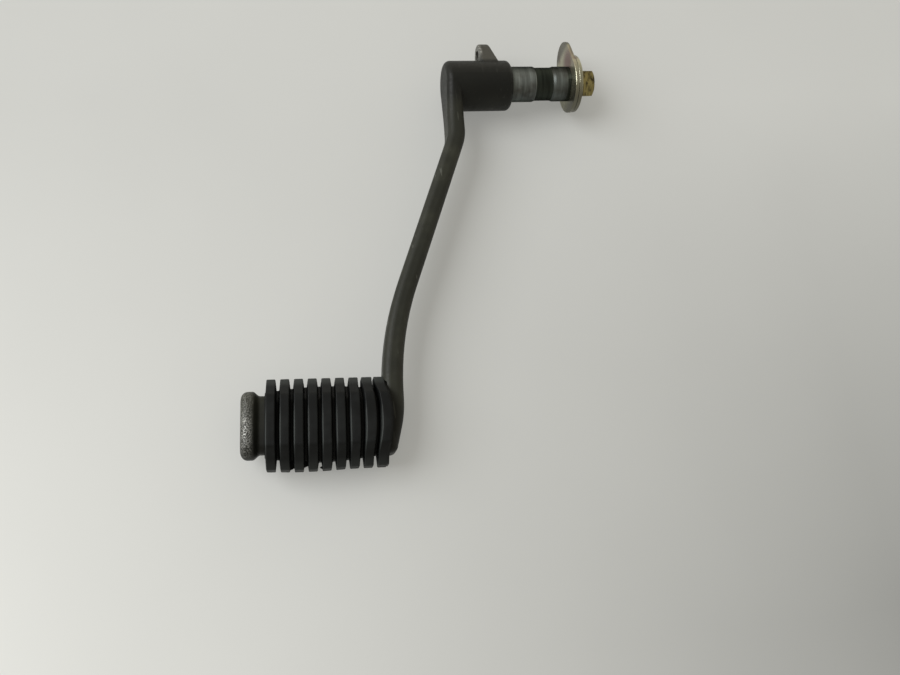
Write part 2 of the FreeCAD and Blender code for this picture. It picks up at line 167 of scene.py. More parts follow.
# Where painted shade darkens the plating and where it is stained: a stain's size in millimetres, how much
# finer it is along the shaft, the noise levels between which it sets in, and the place where it is thickest
NEAR_STAIN = span(10, 4)
TONGUE_TIP = span(14.5, 18.5)
FIXINGS_FRONT = span(-5, -12)
FIXINGS_REAR = span(6, 12)
PAST_PLATE = span(30.4, 31.2)
JOINT_GRIME = 0.2 * MM
PLATE_STAIN = {"size": 9, "finer": 1, "levels": (0.56, 0.8), "place": (26.5 * MM, 9 * MM, 6 * MM)}
BOLT_STAIN = {"size": 4, "finer": 4, "levels": (0.4, 0.66), "place": (39 * MM, 10 * MM, 8 * MM)}

# Paler ends of the ribs, painted light on the rear ones, and the stretch where a painted highlight lies along
# their outward edges
END_REACH = 5 * MM
REAR_LIGHT = 0.8
FRONT_BLOOM = 0.5
HIGHLIGHT_PLACE = 4 * MM
HIGHLIGHT_REACH = 12 * MM
FLAT_HIGHLIGHT = 0.35

# Steps on each rounded corner, and on the straight sides in turn
RUBBER_STEPS = (5, (6, 10, 6, 4))
CORE_STEPS = (8, (10, 4))
RIB_STEPS = 4
WELD = 0.01 * MM

# Shreds of rubber: a rib, and points so many millimetres out from its flank and back from its front
SHREDS = (
    (4, ((-0.3, 2.1), (-0.3, 0.3), (1.2, 1.1))),
    (5, ((-0.3, 5.0), (2.2, 5.0), (2.2, 1.2), (-0.3, 2.3))),
    (6, ((-0.3, 5.0), (2.2, 5.0), (2.2, 0.4), (-0.3, 1.5))),
)
SHRED_RISE = 0.8 * MM

# Stage: how the floor lies, the painted shade that slants its tone, and the lens shift in pixels of a picture
# this wide
FLOOR_GAP = 0.1 * MM
FLOOR_SHADE_SIDES = span(-250, 150)
FLOOR_SHADE_FRONT = span(0, -260)
FLOOR_LEVEL = 0.97
PICTURE_WIDTH = 900
PICTURE_SHIFT = -38.5
NEAREST_SEEN = 10 * MM


class PadRubberSizes(bpy.types.PropertyGroup):
    """Sizes of the ribbed rubber sleeve."""

    rib_count: IntProperty(name="Ribs", description="Number of ribs along the pad", default=9, min=2)
    rib_pitch: FloatProperty(
        name="Rib Pitch", description="Distance from one rib to the next", default=5.62 * MM, **LENGTH)
    rib_root: FloatProperty(
        name="Rib Root", description="Thickness of a rib at its foot", default=4.6 * MM, **LENGTH)
    rib_tip: FloatProperty(
        name="Rib Tip", description="Thickness of a rib at its tip", default=3.6 * MM, **LENGTH)
    rib_height: FloatProperty(
        name="Rib Height", description="Height of the ribs at the pad's ends", default=5.2 * MM, **LENGTH)
    swell: FloatProperty(
        name="Swell", description="Rise of the grooves at the pad's middle", default=2.0 * MM, **LENGTH)
    chamfer: FloatProperty(
        name="Chamfer", description="Chamfer on the four long corners", default=8.2 * MM, **LENGTH)
    corner: FloatProperty(
        name="Corner", description="Radius of the outline's corners", default=2.2 * MM, **LENGTH)
    tip_round: FloatProperty(
        name="Tip Round", description="Radius worn on the ribs' edges", default=0.45 * MM, **LENGTH)
    root_round: FloatProperty(
        name="Root Round", description="Radius in the bottom of the grooves", default=0.25 * MM, **LENGTH)
    core_width: FloatProperty(
        name="Core Width", description="Width of the bar inside", default=24.0 * MM, **LENGTH)
    core_thickness: FloatProperty(
        name="Core Thickness", description="Thickness of the bar inside", default=10.0 * MM, **LENGTH)
    core_corner: FloatProperty(
        name="Core Corner", description="Corner radius of the bar inside", default=4.0 * MM, **LENGTH)
    bow: FloatProperty(
        name="Bow", description="Lean of the last rib's crown over the arm", default=2.0 * MM, **LENGTH)
    push: FloatProperty(
        name="Push", description="Push of the arm on the last rib's rear end", default=0.3 * MM, **LENGTH)
    squash: FloatProperty(
        name="Squash", description="Widening of the last ribs' rear ends", default=0.8 * MM, **LENGTH)
    front_reach: FloatProperty(
        name="Front Reach", description="Spread of the worn ribs at the front", default=0.7 * MM, **LENGTH)
    lean_reach: FloatProperty(
        name="Lean Reach", description="Stretch from the arm where ribs lean", default=17.0 * MM, **LENGTH)
    waver: FloatProperty(
        name="Waver", description="Unevenness of the moulded ribs", default=0.25 * MM, **LENGTH)


class FinishColours(bpy.types.PropertyGroup):
    """Colours of the pedal's finishes."""

    paint: FloatVectorProperty(
        name="Paint", description="Black paint on the arm", default=linear("#24251f"), **COLOUR)
    paint_dust: FloatVectorProperty(
        name="Dusty Paint", description="Paint greyed by dust", default=linear("#303129"), **COLOUR)
    paint_scratch: FloatVectorProperty(
        name="Scratched Paint", description="Hairline scratches", default=linear("#5b5c55"), **COLOUR)
    # Colour that darkens the paint round the hub and at the foot
    paint_hub_foot: FloatVectorProperty(
        name="Greasy Paint", description="Paint dark at hub and foot", default=linear("#0e0f0d"), **COLOUR)
    paint_rub: FloatVectorProperty(
        name="Rubbed Paint", description="Paint rubbed pale on the lug", default=linear("#3c3b35"), **COLOUR)
    bare_steel: FloatVectorProperty(
        name="Bare Steel", description="Steel where paint is rubbed off", default=linear("#a9a9a4"), **COLOUR)
    rubber: FloatVectorProperty(
        name="Rubber", description="Moulded black rubber", default=linear("#0a0c0c"), **COLOUR)
    rubber_dust: FloatVectorProperty(
        name="Rubber Bloom", description="Grey bloom on worn rubber", default=linear("#131515"), **COLOUR)
    # Colour of the painted highlight on the ribs' outward edges and of the painted light on their ends
    rubber_highlight: FloatVectorProperty(
        name="Rubber Edge", description="Rubbed edge of the ribs", default=linear("#343736"), **COLOUR)
    shaft: FloatVectorProperty(
        name="Shaft", description="Worn journal steel", default=linear("#6c716f"), **COLOUR)
    shaft_wear: FloatVectorProperty(
        name="Shaft Wear", description="Brown wear on the journals", default=linear("#4a4743"), **COLOUR)
    shaft_relief: FloatVectorProperty(
        name="Shaft Relief", description="Oily relief of the shaft", default=linear("#2f332e"), **COLOUR)
    shaft_edge: FloatVectorProperty(
        name="Shaft Edge", description="Tint of the shaft at low angles", default=linear("#8c8c88"), **COLOUR)
    zinc: FloatVectorProperty(
        name="Zinc", description="Plating on plate and washers", default=linear("#a9a791"), **COLOUR)
    zinc_stain: FloatVectorProperty(
        name="Zinc Stain", description="Pink-brown stain on plating", default=linear("#735c55"), **COLOUR)
    yellow_zinc: FloatVectorProperty(
        name="Yellow Zinc", description="Yellow passivated bolt", default=linear("#978b5b"), **COLOUR)
    yellow_stain: FloatVectorProperty(
        name="Yellow Zinc Stain", description="Dark stain on the bolt", default=linear("#3d3725"), **COLOUR)
    # Colour of the painted shade at the plating's ends
    zinc_shadow: FloatVectorProperty(
        name="Dull Zinc", description="Plating dulled at its ends", default=linear("#4e4b43"), **COLOUR)
    grime: FloatVectorProperty(
        name="Grime", description="Dirt in the fixings' joints", default=linear("#2a2822"), **COLOUR)
    floor: FloatVectorProperty(
        name="Floor", description="Pale board under the pedal", default=linear("#c9cac7"), **COLOUR)


class StageSettings(bpy.types.PropertyGroup):
    """Camera and light."""

    camera_place: FloatVectorProperty(
        name="Camera Place", description="Where the camera stands", subtype="XYZ", unit="LENGTH",
        default=(-0.1105, -0.2239, 0.3521))
    camera_turn: FloatVectorProperty(
        name="Camera Turn", description="How the camera is turned", subtype="EULER", unit="ROTATION",
        default=(math.radians(18.899), math.radians(-8.982), math.radians(-6.47)))
    lens: FloatProperty(name="Lens", description="Focal length", default=34.0, unit="CAMERA")
    shift: FloatProperty(
        name="Shift", description="Vertical lens shift", default=PICTURE_SHIFT / PICTURE_WIDTH)
    floor_size: FloatProperty(name="Floor Size", description="Side of the floor", default=4.0, **LENGTH)
    floor_glow: FloatProperty(
        name="Floor Glow", description="Share of the floor's colour that no shadow darkens", default=0.38,
        subtype="FACTOR", min=0.0, max=1.0)
    key_place: FloatVectorProperty(
        name="Key Place", description="Where the soft lamp hangs", subtype="XYZ", unit="LENGTH",
        default=(-1.65, 0.3, 1.5))
    key_size: FloatProperty(name="Key Size", description="Side of the soft lamp", default=1.7, **LENGTH)
    key_power: FloatProperty(
        name="Key Power", description="Power of the soft lamp", default=48.0, unit="POWER")
    key_colour: FloatVectorProperty(
        name="Key Colour", description="Light of the soft lamp", default=linear("#fafcff"), **COLOUR)
    room_colour: FloatVectorProperty(
        name="Room Colour", description="Light of the room", default=linear("#fff8e8"), **COLOUR)
    wall_level: FloatProperty(name="Wall Level", description="Light from the sides of the room", default=0.84)
    ceiling_level: FloatProperty(name="Ceiling Level", description="Light from straight above", default=0.29)
    front_share: FloatProperty(
        name="Front Share", description="Share of that light from in front", default=0.65)
    rear_share: FloatProperty(
        name="Rear Share", description="Share of that light from behind", default=1.45)


def new_material(name):
    """Empty node material with its object coordinates."""
    material = bpy.data.materials.new(name)
    material.use_nodes = True
    tree = material.node_tree
    tree.nodes.clear()
    return material, tree, add_node(tree, "ShaderNodeTexCoord").outputs["Object"]


def paint_tones(tree, place, axes, colours):
    """Paint clouded by dust, scratched along the arm, darker at hub and foot, pale on the lug."""
    cloud = add_node(tree, "ShaderNodeTexNoise", {"Vector": place, "Scale": per_mm(14), "Detail": 4})
    dusty = add_node(tree, "ShaderNodeMapRange", {0: cloud, 1: 0.42, 2: 0.7}, **SMOOTH)
    base = add_node(
        tree, "ShaderNodeMix", {0: dusty, 6: colours.paint, 7: colours.paint_dust}, data_type="RGBA")

    # Hairlines, wider than real ones, which are too fine to show
    along = add_node(
        tree, "ShaderNodeMapping", {"Vector": place, "Rotation": (0, 0, ARM_RUN), "Scale": (9, 1, 5)})
    hairline = add_node(tree, "ShaderNodeTexNoise", {"Vector": along, "Scale": per_mm(12), "Detail": 6})
    scratch = add_node(tree, "ShaderNodeMapRange", {0: hairline, 1: 0.655, 2: 0.69, 4: 0.55}, **SMOOTH)
    scratched = add_node(
        tree, "ShaderNodeMix", {0: scratch, 6: base, 7: colours.paint_scratch}, data_type="RGBA")

    at_hub = add_node(tree, "ShaderNodeMapRange", {0: axes["Y"], **NEAR_HUB, 4: 0.85}, **SMOOTH)
    at_foot = add_node(tree, "ShaderNodeMapRange", {0: axes["Y"], **NEAR_FOOT, 4: 0.85}, **SMOOTH)
    hub_foot_darkening = add_node(tree, "ShaderNodeMath", {0: at_hub, 1: at_foot}, operation="MAXIMUM")
    darkened = add_node(
        tree, "ShaderNodeMix", {0: hub_foot_darkening, 6: scratched, 7: colours.paint_hub_foot}, data_type="RGBA")

    from_axis = add_node(
        tree, "ShaderNodeVectorMath", {0: place, 1: (0, 1, 1), 2: (0, HUB_SET_FORWARD, 0)},
        operation="MULTIPLY_ADD")
    radius = add_node(tree, "ShaderNodeVectorMath", {0: from_axis}, operation="LENGTH")
    off_hub = add_node(tree, "ShaderNodeMapRange", {0: radius, **PAST_HUB}, **SMOOTH)
    behind = add_node(tree, "ShaderNodeMapRange", {0: axes["Y"], **BEHIND_SHAFT}, **SMOOTH)
    on_lug = add_node(tree, "ShaderNodeMath", {0: off_hub, 1: behind}, operation="MULTIPLY")
    return add_node(
        tree, "ShaderNodeMix", {0: on_lug, 6: darkened, 7: colours.paint_rub}, data_type="RGBA")


def lip_rub(tree, place):
    """How far the boot has rubbed the lip: along its upper rim, most of all a little ahead of its middle."""
    in_pad = add_node(
        tree, "ShaderNodeMapping",
        {"Vector": place, "Location": PAD_ORIGIN, "Rotation": (0, 0, PAD_ANGLE)}, vector_type="TEXTURE")
    pad = add_node(tree, "ShaderNodeSeparateXYZ", {0: in_pad}).outputs
    from_rim = add_node(tree, "ShaderNodeMath", {0: pad["X"], 1: LIP_RIM}, operation="SUBTRACT")
    rim_offset = add_node(tree, "ShaderNodeMath", {0: from_rim}, operation="ABSOLUTE")
    rim = add_node(tree, "ShaderNodeMapRange", {0: rim_offset, **BESIDE_RIM}, **SMOOTH)
    upper = add_node(tree, "ShaderNodeMapRange", {0: pad["Z"], **LIP_UPPER}, **SMOOTH)
    on_rim = add_node(tree, "ShaderNodeMath", {0: rim, 1: upper}, operation="MULTIPLY")
    from_boot = add_node(tree, "ShaderNodeMath", {0: pad["Y"], 1: BOOT_PLACE}, operation="SUBTRACT")
    boot_offset = add_node(tree, "ShaderNodeMath", {0: from_boot}, operation="ABSOLUTE")
    boot = add_node(tree, "ShaderNodeMapRange", {0: boot_offset, **BESIDE_BOOT, 3: 0.4, 4: 1.0}, **SMOOTH)
    return add_node(tree, "ShaderNodeMath", {0: on_rim, 1: boot}, operation="MULTIPLY")


def lug_rub(tree, axes):
    """How far the lug is rubbed, growing towards its tip."""
    side = add_node(tree, "ShaderNodeMapRange", {0: axes["X"], **LUG_SIDE}, **SMOOTH)
    tip = add_node(tree, "ShaderNodeMapRange", {0: axes["Y"], **LUG_TIP}, **SMOOTH)
    return add_node(tree, "ShaderNodeMath", {0: side, 1: tip}, operation="MULTIPLY")


def black_paint(colours):
    """Stoved black paint on a steel forging: a soft sheen over an uneven skin, darker round the hub and at
    the foot, greyed by dust along the arm, and rubbed through to bright flecks on the lip and the lug."""
    material, tree, place = new_material("black_paint_on_forged_steel")
    axes = add_node(tree, "ShaderNodeSeparateXYZ", {0: place}).outputs
    rubbed = add_node(
        tree, "ShaderNodeMath", {0: lip_rub(tree, place), 1: lug_rub(tree, axes)}, operation="MAXIMUM")
    fleck = add_node(
        tree, "ShaderNodeTexNoise", {"Vector": place, "Scale": per_mm(0.55), "Detail": 4, "Roughness": 0.65})
    flecks = add_node(tree, "ShaderNodeMapRange", {0: fleck, 1: 0.44, 2: 0.62, 4: 0.9})
    bare = add_node(tree, "ShaderNodeMath", {0: rubbed, 1: flecks}, operation="MULTIPLY")
    paint = paint_tones(tree, place, axes, colours)
    colour = add_node(tree, "ShaderNodeMix", {0: bare, 6: paint, 7: colours.bare_steel}, data_type="RGBA")
    skin = add_node(tree, "ShaderNodeTexNoise", {"Vector": place, "Scale": per_mm(1.1), "Detail": 5})
    sheen = add_node(tree, "ShaderNodeMapRange", {0: skin, 1: 0.3, 2: 0.7, 3: 0.42, 4: 0.58})
    bump = add_node(tree, "ShaderNodeBump", {"Strength": 0.35, "Distance": 0.06 * MM, "Height": skin})
    shader = add_node(tree, "ShaderNodeBsdfPrincipled", {
        "Base Color": colour, "Metallic": bare, "Roughness": sheen, "Specular IOR Level": 0.22,
        "Normal": bump})
    add_node(tree, "ShaderNodeOutputMaterial", {"Surface": shader})
    return material


def shaft_zones(tree, x):
    """How much journal steel shows along the shaft: less by the hub for painted shade, none in its relief,
    and most on the relief's first edge for a painted highlight ring.
    """
    along = add_node(tree, "ShaderNodeMapRange", {0: x, **span(0, SHAFT_RUN)})
    zones = add_node(tree, "ShaderNodeValToRGB", {0: along})
    stops = zones.color_ramp.elements
    stops[-1].position = SHAFT_ZONES[-1][0] / SHAFT_RUN
    for where, share in SHAFT_ZONES[1:-1]:
        stops.new(where / SHAFT_RUN)
    for stop, (where, share) in zip(stops, SHAFT_ZONES):
        stop.color = (share, share, share, 1)
    return zones


def worn_steel(colours):
    """Turned shaft steel, polished by its bush: grey bands round the journals, with a painted highlight
    along their top and painted shade towards the rear, an oily dark relief with painted highlight rings on
    its edges, and browned streaks that run round the shaft."""
    material, tree, place = new_material("turned_steel_worn")
    axes = add_node(tree, "ShaderNodeSeparateXYZ", {0: place}).outputs
    cloud = add_node(tree, "ShaderNodeTexNoise", {"Vector": place, "Scale": per_mm(6), "Detail": 5})
    worn = add_node(tree, "ShaderNodeMapRange", {0: cloud, 1: 0.4, 2: 0.75, 4: 0.8}, **SMOOTH)
    steel = add_node(
        tree, "ShaderNodeMix", {0: worn, 6: colours.shaft, 7: colours.shaft_wear}, data_type="RGBA")
    # Painted highlight: a band along the top, half again as bright; painted shade darkens the steel towards
    # the rear
    from_highlight = add_node(tree, "ShaderNodeMath", {0: axes["Y"], 1: HIGHLIGHT_FORWARD}, operation="ADD")
    highlight_offset = add_node(tree, "ShaderNodeMath", {0: from_highlight}, operation="ABSOLUTE")
    painted_highlight = add_node(
        tree, "ShaderNodeMapRange", {0: highlight_offset, **BESIDE_HIGHLIGHT, 3: 1.5, 4: 0.75}, **SMOOTH)
    back = add_node(tree, "ShaderNodeMapRange", {0: axes["Y"], **SHAFT_BACK_SHADE, 3: 1.0, 4: 0.38})
    turned = add_node(tree, "ShaderNodeMath", {0: painted_highlight, 1: back}, operation="MULTIPLY")
    rings = add_node(tree, "ShaderNodeMapping", {"Vector": place, "Scale": (20, 1, 1)})
    band = add_node(tree, "ShaderNodeTexNoise", {"Vector": rings, "Scale": per_mm(22), "Detail": 4})
    streak = add_node(tree, "ShaderNodeMapRange", {0: band, 1: 0.35, 2: 0.65, 3: 0.75, 4: 1.25})
    level = add_node(tree, "ShaderNodeMath", {0: streak, 1: turned}, operation="MULTIPLY")
    journal = add_node(tree, "ShaderNodeVectorMath", {0: steel, "Scale": level}, operation="SCALE")
    relief = add_node(
        tree, "ShaderNodeVectorMath", {0: tuple(colours.shaft_relief), "Scale": streak}, operation="SCALE")
    zones = shaft_zones(tree, axes["X"])
    colour = add_node(
        tree, "ShaderNodeMix", {0: zones, 6: relief, 7: journal}, data_type="RGBA", clamp_factor=False)
    gloss = add_node(tree, "ShaderNodeMapRange", {0: band, 1: 0.3, 2: 0.7, 3: 0.3, 4: 0.5})
    bump = add_node(tree, "ShaderNodeBump", {"Strength": 0.4, "Distance": 0.04 * MM, "Height": band})
    shader = add_node(tree, "ShaderNodeBsdfPrincipled", {
        "Base Color": colour, "Metallic": 0.85, "Roughness": gloss, "Specular Tint": colours.shaft_edge,
        "Normal": bump})
    add_node(tree, "ShaderNodeOutputMaterial", {"Surface": shader})
    return material


def shadowed_ends(tree, axes):
    """Share of painted shade on the plating: at the tongue's tip, in front, and behind from the plate's edge
    inboard.
    """
    tip = add_node(tree, "ShaderNodeMapRange", {0: axes["Y"], **TONGUE_TIP, 4: 0.85}, **SMOOTH)
    front = add_node(tree, "ShaderNodeMapRange", {0: axes["Y"], **FIXINGS_FRONT, 4: 0.75}, **SMOOTH)
    rear = add_node(tree, "ShaderNodeMapRange", {0: axes["Y"], **FIXINGS_REAR, 4: 0.55}, **SMOOTH)
    inboard = add_node(tree, "ShaderNodeMapRange", {0: axes["X"], **PAST_PLATE}, **SMOOTH)
    rear_rim = add_node(tree, "ShaderNodeMath", {0: rear, 1: inboard}, operation="MULTIPLY")
    rear_end = add_node(tree, "ShaderNodeMath", {0: tip, 1: rear_rim}, operation="MAXIMUM")
    return add_node(tree, "ShaderNodeMath", {0: rear_end, 1: front}, operation="MAXIMUM")


def joint_grime(tree, x):
    """How much grime lies where the plate, the washers and the bolt's head meet."""
    grime = 0.0
    for node in ("stop_plate", "plain_washer", "spring_washer"):
        joint = max(v.co.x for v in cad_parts[node].data.vertices)
        beside = add_node(tree, "ShaderNodeMath", {0: x, 1: joint, 2: JOINT_GRIME}, operation="COMPARE")
        grime = add_node(tree, "ShaderNodeMath", {0: beside, 1: grime}, operation="MAXIMUM")
    return add_node(tree, "ShaderNodeMath", {0: grime, 1: 0.65}, operation="MULTIPLY")


def zinc_plate(name, colours, bright, dull, stain):
    """Zinc plating on pressed and headed steel: a satin metal with a yellowish cast, clouded by
    handling, stained most round one place, with painted shade at the tongue's tip and the far rear and front,
    and grime in the joints."""
    material, tree, place = new_material(name)
    axes = add_node(tree, "ShaderNodeSeparateXYZ", {0: place}).outputs
    round_shaft = add_node(tree, "ShaderNodeMapping", {"Vector": place, "Scale": (stain["finer"], 1, 1)})
    cloud = add_node(
        tree, "ShaderNodeTexNoise", {"Vector": round_shaft, "Scale": per_mm(stain["size"]), "Detail": 5})
    low, high = stain["levels"]
    stained = add_node(tree, "ShaderNodeMapRange", {0: cloud, 1: low, 2: high}, **SMOOTH)
    away = add_node(tree, "ShaderNodeVectorMath", {0: place, 1: stain["place"]}, operation="DISTANCE")
    close = add_node(tree, "ShaderNodeMapRange", {0: away, **NEAR_STAIN}, **SMOOTH)
    share = add_node(tree, "ShaderNodeMath", {0: stained, 1: close}, operation="MAXIMUM")
    clouded = add_node(tree, "ShaderNodeMix", {0: share, 6: bright, 7: dull}, data_type="RGBA")
    # Painted shade at the tongue's tip and at the far rear and front
    shadowed = add_node(
        tree, "ShaderNodeMix", {0: shadowed_ends(tree, axes), 6: clouded, 7: colours.zinc_shadow},
        data_type="RGBA")
    colour = add_node(
        tree, "ShaderNodeMix", {0: joint_grime(tree, axes["X"]), 6: shadowed, 7: colours.grime},
        data_type="RGBA")
    gloss = add_node(tree, "ShaderNodeMapRange", {0: cloud, 1: 0.3, 2: 0.7, 3: 0.2, 4: 0.38})
    # Grain of the plating, coarser than the real one, which is too fine to show
    grain = add_node(tree, "ShaderNodeTexNoise", {"Vector": place, "Scale": per_mm(0.6), "Detail": 3})
    bump = add_node(tree, "ShaderNodeBump", {"Strength": 0.25, "Distance": 0.03 * MM, "Height": grain})
    shader = add_node(tree, "ShaderNodeBsdfPrincipled", {
        "Base Color": colour, "Metallic": 0.9, "Roughness": gloss, "Normal": bump})
    add_node(tree, "ShaderNodeOutputMaterial", {"Surface": shader})
    return material


def black_rubber(colours):
    """Compression moulded black rubber: nearly black and matt, with a thin grey bloom, ribs paler at their
    ends with painted light on the rear ones, a painted highlight along their outward edges, and the fine
    grain of a blasted mould."""
    material, tree, place = new_material("moulded_black_rubber")
    cloud = add_node(tree, "ShaderNodeTexNoise", {"Vector": place, "Scale": per_mm(7), "Detail": 5})
    bloom = add_node(tree, "ShaderNodeMapRange", {0: cloud, 1: 0.4, 2: 0.68}, **SMOOTH)
    dusted = add_node(
        tree, "ShaderNodeMix", {0: bloom, 6: colours.rubber, 7: colours.rubber_dust}, data_type="RGBA")
    # Painted highlight and painted light that the ribs carry as an attribute
    rib_light = add_node(tree, "ShaderNodeAttribute", attribute_name="rib_light")
    edge = add_node(tree, "ShaderNodeMapRange", {0: rib_light.outputs["Fac"], 1: 0.15, 2: 1.0}, **SMOOTH)
    colour = add_node(tree, "ShaderNodeMix", {0: edge, 6: dusted, 7: colours.rubber_highlight}, data_type="RGBA")
    matt = add_node(tree, "ShaderNodeMapRange", {0: cloud, 1: 0.3, 2: 0.7, 3: 0.5, 4: 0.64})
    # Grain of the mould, coarser than the real one, which is too fine to show
    grain = add_node(tree, "ShaderNodeTexNoise", {"Vector": place, "Scale": per_mm(0.5), "Detail": 3})
    bump = add_node(tree, "ShaderNodeBump", {"Strength": 0.3, "Distance": 0.04 * MM, "Height": grain})
    shader = add_node(tree, "ShaderNodeBsdfPrincipled", {
        "Base Color": colour, "Roughness": matt, "Specular IOR Level": 0.18, "Normal": bump})
    add_node(tree, "ShaderNodeOutputMaterial", {"Surface": shader})
    return material


def pale_board(colours, glow):
    """Pale laminated board: a satin grey with the faintest clouding, with painted shade that leaves it
    brighter to the left and darker to the right in front. A share of its own colour shows by itself to the
    camera and in reflections, so that shadows on it stay pale."""
    material, tree, place = new_material("pale_board")
    cloud = add_node(tree, "ShaderNodeTexNoise", {"Vector": place, "Scale": per_mm(90), "Detail": 3})
    axes = add_node(tree, "ShaderNodeSeparateXYZ", {0: place}).outputs
    # Painted shade: the tone falls off towards the right in front
    side = add_node(tree, "ShaderNodeMapRange", {0: axes["X"], **FLOOR_SHADE_SIDES, 3: 0.32, 4: -0.42})
    front = add_node(tree, "ShaderNodeMapRange", {0: axes["Y"], **FLOOR_SHADE_FRONT})
    painted_falloff = add_node(tree, "ShaderNodeMath", {0: side, 1: front, 2: FLOOR_LEVEL}, operation="MULTIPLY_ADD")
    level = add_node(tree, "ShaderNodeMath", {0: cloud, 1: 0.06, 2: painted_falloff}, operation="MULTIPLY_ADD")
    colour = add_node(
        tree, "ShaderNodeVectorMath", {0: tuple(colours.floor), "Scale": level}, operation="SCALE")
    shader = add_node(tree, "ShaderNodeBsdfPrincipled", {
        "Base Color": colour, "Roughness": 0.6, "Specular IOR Level": 0.2})
    path = add_node(tree, "ShaderNodeLightPath").outputs
    direct = add_node(
        tree, "ShaderNodeMath", {0: path["Is Camera Ray"], 1: path["Is Glossy Ray"]}, operation="MAXIMUM")
    seen = add_node(
        tree, "ShaderNodeMath", {0: direct, 1: path["Is Transmission Ray"]}, operation="MAXIMUM")
    share = add_node(tree, "ShaderNodeMath", {0: seen, 1: glow}, operation="MULTIPLY")
    light = add_node(tree, "ShaderNodeEmission", {"Color": colour})
    mixed = add_node(tree, "ShaderNodeMixShader", {0: share, 1: shader, 2: light})
    add_node(tree, "ShaderNodeOutputMaterial", {"Surface": mixed})
    return material


def finish_nodes(material, *names):
    """Give carried-over solids their finish."""
    for name in names:
        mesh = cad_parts[name].data
        mesh.materials.clear()
        mesh.materials.append(material)


def rounded_corner(before, corner, after, radius, steps):
    """Points on the arc that rounds one corner of a flat run."""
    back = (before - corner).normalized()
    ahead = (after - corner).normalized()
    half_turn = (math.pi - back.angle(ahead)) / 2
    inward = (back + ahead).normalized()
    centre = corner + inward * (radius / math.cos(half_turn))
    setback = radius * math.tan(half_turn)
    start = corner + back * setback - centre
    end = corner + ahead * setback - centre
    sweep = 2 * half_turn
    points = []
    for step in range(steps + 1):
        share = step / steps
        first = math.sin((1 - share) * sweep) / math.sin(sweep)
        last = math.sin(share * sweep) / math.sin(sweep)
        points.append(centre + start * first + end * last)
    return points


def rounded_ring(corners, radius, corner_steps, side_steps):
    """Closed ring of points round flat corners, its straight sides divided as well."""
    arcs = []
    for index, corner in enumerate(corners):
        after = corners[(index + 1) % len(corners)]
        arcs.append(rounded_corner(corners[index - 1], corner, after, radius, corner_steps))
    points = []
    for index, arc in enumerate(arcs):
        points += arc
        following = arcs[(index + 1) % len(arcs)][0]
        steps = side_steps[index % len(side_steps)]
        points += [arc[-1].lerp(following, step / steps) for step in range(1, steps)]
    return points


def rubber_ring(sizes, depth):
    """Eight-sided outline of the rubber, so far below the rib tips."""
    half_width = RUBBER_SIZE.y / 2 - depth
    half_height = RUBBER_SIZE.z / 2 - depth
    chamfer = sizes.chamfer - depth * (2 - math.sqrt(2))
    quarter = [Vector((half_width, half_height - chamfer)), Vector((half_width - chamfer, half_height))]
    corners = quarter + [Vector((-p.x, p.y)) for p in reversed(quarter)]
    corners += [-p for p in corners]
    return rounded_ring(corners, sizes.corner, *RUBBER_STEPS)


def core_ring(sizes):
    """Rounded outline of the bar inside the sleeve."""
    half = Vector((sizes.core_width / 2, sizes.core_thickness / 2))
    corners = [half, Vector((-half.x, half.y)), -half, Vector((half.x, -half.y))]
    return rounded_ring(corners, sizes.core_corner, *CORE_STEPS)


def rib_start(sizes):
    """Place where the first rib leaves the sleeve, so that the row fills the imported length."""
    return (RUBBER_SIZE.x - (sizes.rib_count - 1) * sizes.rib_pitch - sizes.rib_root) / 2


def rib_profile(sizes):
    """Places along the pad and depths below the tip, over one rib and half a groove each side."""
    flank = (sizes.rib_root - sizes.rib_tip) / 2
    half_groove = (sizes.rib_pitch - sizes.rib_root) / 2
    floor = sizes.rib_height
    run = [
        Vector((-half_groove, floor)), Vector((0, floor)), Vector((flank, 0)),
        Vector((flank + sizes.rib_tip, 0)), Vector((sizes.rib_root, floor)),
        Vector((sizes.rib_root + half_groove, floor)),
    ]
    radii = [sizes.root_round, sizes.tip_round, sizes.tip_round, sizes.root_round]
    points = [run[0]]
    for before, corner, after, radius in zip(run, run[1:], run[2:], radii):
        points += rounded_corner(before, corner, after, radius, RIB_STEPS)
    points.append(run[-1])
    start = Vector((rib_start(sizes), 0))
    return [start + point for point in points]


def painted_rib_light(sizes, point, depth):
    """How pale a point of a rib is, so far below its tip: paler at both ends with painted light at the rear,
    and a painted highlight along the outward edge.
    """
    if depth > sizes.tip_round or point.z < 0:
        return 0.0
    half_width = RUBBER_SIZE.y / 2
    from_rear = (half_width + point.y) / END_REACH
    from_front = (half_width - point.y) / END_REACH
    # Painted light on the rear ends; the front ends paler
    bloom = max(0, REAR_LIGHT * (1 - from_rear ** 2), FRONT_BLOOM * (1 - from_front ** 2))
    if point.x <= rib_start(sizes) + sizes.rib_root / 2:
        return bloom
    # Painted highlight along the outward edge, fainter on the flat of the tip
    from_rib_highlight = abs(point.y - HIGHLIGHT_PLACE) / HIGHLIGHT_REACH
    rubbed = max(0, 1 - from_rib_highlight ** 2) * (FLAT_HIGHLIGHT if depth == 0 else 1)
    return max(bloom, rubbed)


